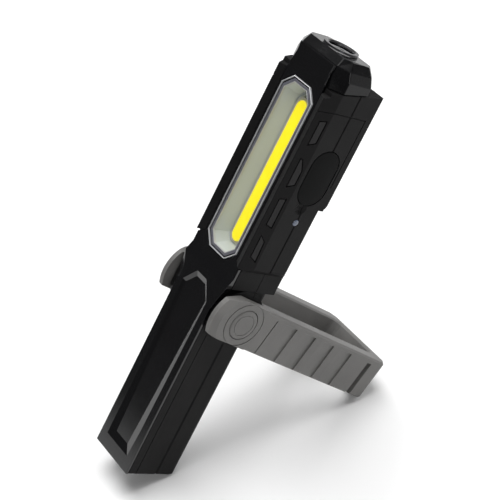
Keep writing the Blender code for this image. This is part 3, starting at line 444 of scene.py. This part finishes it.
# The finish of each CAD node whose name starts like this.
NODE_FINISHES = {
    "front_shell": "housing",
    "rear_shell": "housing",
    "front_fascia": "gloss",
    "nose_cap": "nose",
    "torch_ring": "bezel",
    "torch_reflector": "mirror",
    "torch_board": "aluminium",
    "torch_led": "phosphor",
    "window_gasket": "rubber",
    "reflector_tray": "tray",
    "led_board": "board_white",
    "heat_sink": "aluminium",
    "grip_insert": "insert",
    "control_board": "circuit",
    "tact_switch": "steel",
    "charge_socket": "steel",
    "battery_cell": "sleeve",
    "battery_tab": "steel",
    "torch_lead_red": "red",
    "torch_lead_black": "wire_black",
    "battery_lead_red": "red",
    "battery_lead_black": "wire_black",
    "hook_pin": "steel",
    "hook": "stand",
    "housing_screw": "steel",
    "rear_magnet": "nickel",
    "stand_frame": "stand",
    "pivot_screw": "steel",
    "pivot_washer": "washer",
    "pivot_insert": "brass",
}

# The radius of the sharp edges, in metres.
ROUNDED = {
    "front_shell": 0.00025,
    "rear_shell": 0.0003,
    "front_fascia": 0.00018,
    "nose_cap": 0.0003,
    "stand_frame": 0.0002,
    "grip_insert": 0.00016,
    "hook": 0.0003,
    "reflector_tray": 0.0002,
    "torch_ring": 0.00012,
}


def longest_start(name, table):
    """The table's entry for the longest key that the name starts with."""
    keys = [key for key in table if name.startswith(key)]
    return table[max(keys, key=len)] if keys else None


def round_edges(obj, width):
    """Joins the imported faces again, rounds the sharp edges and keeps the flat faces flat."""
    weld = obj.modifiers.new("weld", "WELD")
    weld.merge_threshold = WELD_DISTANCE
    bevel = obj.modifiers.new("edges", "BEVEL")
    bevel.width = width
    bevel.segments = EDGE_SEGMENTS
    bevel.limit_method = "ANGLE"
    bevel.angle_limit = EDGE_ANGLE
    bevel.use_clamp_overlap = True
    bevel.harden_normals = True


def dress_cad_nodes():
    """Gives the CAD's own pieces their finishes, and rounds the edges of those that are seen."""
    for name, obj in nodes.items():
        key = longest_start(name, NODE_FINISHES)
        if key:
            obj.data.materials.clear()
            obj.data.materials.append(finishes[key])
        width = longest_start(name, ROUNDED)
        if width:
            round_edges(obj, width)


dress_cad_nodes()

# ---------------------------------------------------------------- new pieces


def skin(rows, closed_ends=(True, True)):
    """Skins rows of the same number of points and caps the ends."""
    shape = bmesh.new()
    rings = [[shape.verts.new(point) for point in row] for row in rows]
    for below, above in zip(rings, rings[1:]):
        count = len(below)
        for index in range(count):
            after = (index + 1) % count
            shape.faces.new((below[index], below[after], above[after], above[index]))
    if closed_ends[0]:
        shape.faces.new(rings[0][::-1])
    if closed_ends[1]:
        shape.faces.new(rings[-1])
    bmesh.ops.recalc_face_normals(shape, faces=shape.faces)
    return shape


def piece(name, shape, body, finish_name, replaced=()):
    """A finished piece from a shape in the lamp's axes."""
    mesh = bpy.data.meshes.new(name)
    shape.to_mesh(mesh)
    shape.free()
    mesh.transform(lamp_matrix)
    obj = bpy.data.objects.new(name, mesh)
    bpy.context.scene.collection.objects.link(obj)
    mesh.materials.append(finishes[finish_name])
    mesh.set_sharp_from_angle(angle=SMOOTH_ANGLE)
    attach(obj, body)
    if replaced:
        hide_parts(*replaced)


def oval(half_width, half_length, steps):
    """A stadium's outline, long in its second coordinate."""
    straight = half_length - half_width
    points = []
    for end in (1, -1):
        for step in range(steps + 1):
            angle = math.pi * step / steps + (0 if end > 0 else math.pi)
            across = half_width * math.cos(angle)
            points.append((across, end * straight + half_width * math.sin(angle)))
    return points


def octagon(half, low, high, corner):
    """A long octagon's outline, with the corners cut off at 45 degrees."""
    right = [(half - corner, low), (half, low + corner)]
    right += [(half, high - corner), (half - corner, high)]
    return right + [(-across, along) for across, along in reversed(right)]


def circle(radius):
    turns = (2 * math.pi * step / TURN_STEPS for step in range(TURN_STEPS))
    return [(radius * math.cos(turn), radius * math.sin(turn)) for turn in turns]


def crown(reach, rise, rings):
    """(inset, height) steps of a shallow dome, from its rim to near its middle."""
    steps = []
    for index in range(rings + 1):
        part = index / rings
        steps.append((reach * part, rise * (1 - (1 - part) ** 2)))
    return steps


def build_button():
    """The oval button: a sunk groove round a slightly crowned face."""
    low, high = lamp_box("switch_button")
    centre_y, centre_z = (low.y + high.y) / 2, (low.z + high.z) / 2
    flange_half = ((high.y - low.y) / 2, (high.z - low.z) / 2)
    half = (flange_half[0] - BUTTON_GROOVE, flange_half[1] - BUTTON_GROOVE)
    face = high.x - BUTTON_SINK
    groove = low.x + BUTTON_GROOVE_FLOOR
    steps = [(low.x, flange_half, 0.0), (groove, flange_half, 0.0)]
    steps += [(groove, half, 0.0), (face - 0.0005, half, 0.0)]
    steps += [(face - 0.00015, half, 0.00015), (face, half, 0.0005)]
    for inset, rise in crown(half[0] * 0.9, BUTTON_CROWN, 7):
        steps.append((face + rise, half, 0.0006 + inset * 0.92))
    rows = []
    for x, (half_width, half_length), inset in steps:
        outline = oval(half_width - inset, half_length - inset, 20)
        rows.append([(x, centre_y + across, centre_z + along) for across, along in outline])
    piece("button_cap", skin(rows), "button", "button", ("switch_button",))


def window_rows(steps):
    """Rows for skin() that follow the window's outline, one for each (inset, y)."""
    low, high = lamp_box("window")
    half = high.x - WINDOW_FLANGE
    bottom, top = low.z + WINDOW_FLANGE, high.z - WINDOW_FLANGE
    rows = []
    for inset, y in steps:
        corner = WINDOW_CORNER - inset * CORNER_PER_INSET
        outline = octagon(half - inset, bottom + inset, top - inset, corner)
        rows.append([(x, y, z) for x, z in outline])
    return rows


def octagon_ring(name, outer, inner, front, back, finish_name):
    """A frame round the window between two insets from its edge, with eased front edges."""
    steps = [
        (outer, back),
        (outer, front + BAND_EASE),
        (outer + BAND_EASE, front),
        (inner - BAND_EASE, front),
        (inner, front + BAND_EASE),
        (inner, back),
        (outer, back),
    ]
    shape = skin(window_rows(steps), (False, False))
    bmesh.ops.remove_doubles(shape, verts=shape.verts, dist=0.000001)
    bmesh.ops.recalc_face_normals(shape, faces=shape.faces)
    piece(name, shape, "lamp", finish_name)


def build_window():
    """The raised clear cover: its thin face, and painted bands for how its wall looks edge on:
    highlight lines, a band of painted shade and a band of painted reflection.
    """
    low, high = lamp_box("window")
    front = low.y
    steps = [(0, high.y - 0.0008), (0, front + 0.0004)]
    steps += [(0.0003, front + 0.00005), (0.0008, front)]
    shape = skin(window_rows(steps), (False, True))
    piece("window_face", shape, "lamp", "cover", ("window",))
    for word, outer, inner, sink, end, finish_name in WINDOW_BANDS:
        octagon_ring(f"window_{word}", outer, inner, front + sink, front + end, finish_name)


def build_strip():
    """The phosphor strip: a low bead with round ends."""
    low, high = lamp_box("led_strip")
    half = high.x
    centre = (low.z + high.z) / 2
    length = (high.z - low.z) / 2
    rows = []
    bead = [(0, high.y), (0, low.y + 0.0003), (0.0002, low.y + 0.00008), (0.0007, low.y)]
    for inset, y in bead:
        outline = oval(half - inset, length - inset, 12)
        rows.append([(x, y, centre + z) for x, z in outline])
    piece("phosphor_strip", skin(rows), "lamp", "phosphor", ("led_strip",))


def build_round(name, node, body, finish_name, axis, side, profile):
    """A turned piece on the centre of a CAD node. The profile is (radius, depth below the top)."""
    low, high = lamp_box(node)
    middle = (low + high) / 2
    rows = []
    for radius, depth in profile:
        row = []
        for across, along in circle(radius):
            if axis == "x":
                face = high.x if side > 0 else low.x
                row.append((face - side * depth, middle.y + across, middle.z + along))
            else:
                row.append((middle.x + across, middle.y + along, high.z - depth))
        rows.append(row)
    piece(name, skin(rows), body, finish_name, (node,))


def build_turned_pieces():
    """The indicator's dome, the torch's glass, and the stand's pivot caps with their ring grooves."""
    low, high = lamp_box("light_pipe")
    radius = (high.y - low.y) / 2
    dome = [(radius, high.x - low.x), (radius, 0.0003), (radius * 0.85, 0.0001)]
    dome += [(radius * 0.5, 0.00002), (radius * 0.1, 0.0)]
    build_round("indicator_lens", "light_pipe", "lamp", "indicator", "x", 1, dome)

    low, high = lamp_box("torch_lens")
    radius = (high.x - low.x) / 2
    thick = high.z - low.z
    glass = [(radius, thick), (radius, 0.0004), (radius - 0.0003, 0.0001)]
    glass += [(radius * 0.6, 0.00003), (radius * 0.1, 0.0)]
    build_round("torch_glass", "torch_lens", "lamp", "lens", "z", 1, glass)

    for side, word in ((1, "right"), (-1, "left")):
        low, high = lamp_box(f"hub_cap_{word}")
        radius = (high.y - low.y) / 2
        thick = high.x - low.x
        cap = [(radius, thick), (radius, 0.0006)]
        cap += [(radius - 0.0003, 0.00022), (radius - 0.0007, 0.0001)]
        cap += [(radius * 0.74, 0.00002), (radius * 0.72, 0.00028), (radius * 0.69, 0.00028)]
        cap += [(radius * 0.67, 0.0), (radius * 0.2, 0.0), (radius * 0.05, 0.0)]
        name, node = f"pivot_cap_{word}", f"hub_cap_{word}"
        build_round(name, node, "stand", "stand", "x", side, cap)


def build_charge_flap():
    """The rubber flap over the charging socket: a crowned face with a plug behind it."""
    low, high = lamp_box("charge_cover")
    centre_y, centre_z = (low.y + high.y) / 2, (low.z + high.z) / 2
    half = ((high.y - low.y) / 2, (high.z - low.z) / 2)
    back, rim = high.x, low.x + FLAP_CROWN
    steps = [(back, FLAP_PLUG, 0.0), (back - 0.0005, FLAP_PLUG, 0.0), (back - 0.0006, half, 0.0)]
    steps += [(low.x + 0.0004, half, 0.0), (rim, half, 0.0002)]
    for inset, rise in crown(half[0] * 0.85, FLAP_CROWN, 5):
        steps.append((rim - rise, half, 0.0004 + inset * 0.85))
    rows = []
    for x, (width, length), inset in steps:
        outline = oval(width - inset, length - inset, 14)
        rows.append([(x, centre_y + across, centre_z + along) for across, along in outline])
    piece("charge_flap", skin(rows), "cover", "rubber", ("charge_cover",))


build_button()
build_window()
build_strip()
build_turned_pieces()
build_charge_flap()

# ---------------------------------------------------------------- studio


def area_light(name, at, size, power):
    data = bpy.data.lights.new(name, "AREA")
    data.shape = "DISK"
    data.size = size
    data.energy = power
    light = bpy.data.objects.new(name, data)
    light.location = at
    toward = Vector(LIGHT_TARGET) - Vector(at)
    light.rotation_euler = toward.to_track_quat("-Z", "Y").to_euler()
    bpy.context.scene.collection.objects.link(light)


def build_studio():
    """A pale floor, a dim white sky and four soft lights."""
    shape = bmesh.new()
    bmesh.ops.create_grid(shape, x_segments=1, y_segments=1, size=FLOOR_HALF)
    mesh = bpy.data.meshes.new("floor")
    shape.to_mesh(mesh)
    shape.free()
    floor = bpy.data.objects.new("floor", mesh)
    floor.location = (0, 0, -FLOOR_DROP)
    bpy.context.scene.collection.objects.link(floor)
    graph = Graph("floor")
    pale = graph.blend(graph.noise(0.4), (0.88, 0.88, 0.88), (0.9, 0.9, 0.9))
    graph.link(pale, graph.shader.inputs["Base Color"])
    graph.set(Roughness=0.9, Specular_IOR_Level=0.1)
    mesh.materials.append(graph.material)

    world = bpy.data.worlds.new("studio")
    world.use_nodes = True
    sky = world.node_tree.nodes["Background"]
    sky.inputs["Color"].default_value = (1, 1, 1, 1)
    sky.inputs["Strength"].default_value = SKY_STRENGTH
    bpy.context.scene.world = world

    for name, at, size, power in LIGHTS:
        area_light(name, at, size, power)
    bpy.context.scene.view_settings.view_transform = "Standard"


def build_camera():
    data = bpy.data.cameras.new("camera")
    data.lens = LENS
    data.sensor_width = SENSOR_WIDTH
    data.clip_start, data.clip_end = CLIP
    camera = bpy.data.objects.new("camera", data)
    right = Vector(CAMERA_RIGHT).normalized()
    back = Vector(CAMERA_BACK).normalized()
    turn = Matrix((right, back.cross(right), back)).transposed()
    camera.matrix_world = lamp_matrix @ Matrix.Translation(CAMERA_AT) @ turn.to_4x4()
    bpy.context.scene.collection.objects.link(camera)
    bpy.context.scene.camera = camera


build_studio()
build_camera()

bpy.context.view_layer.update()
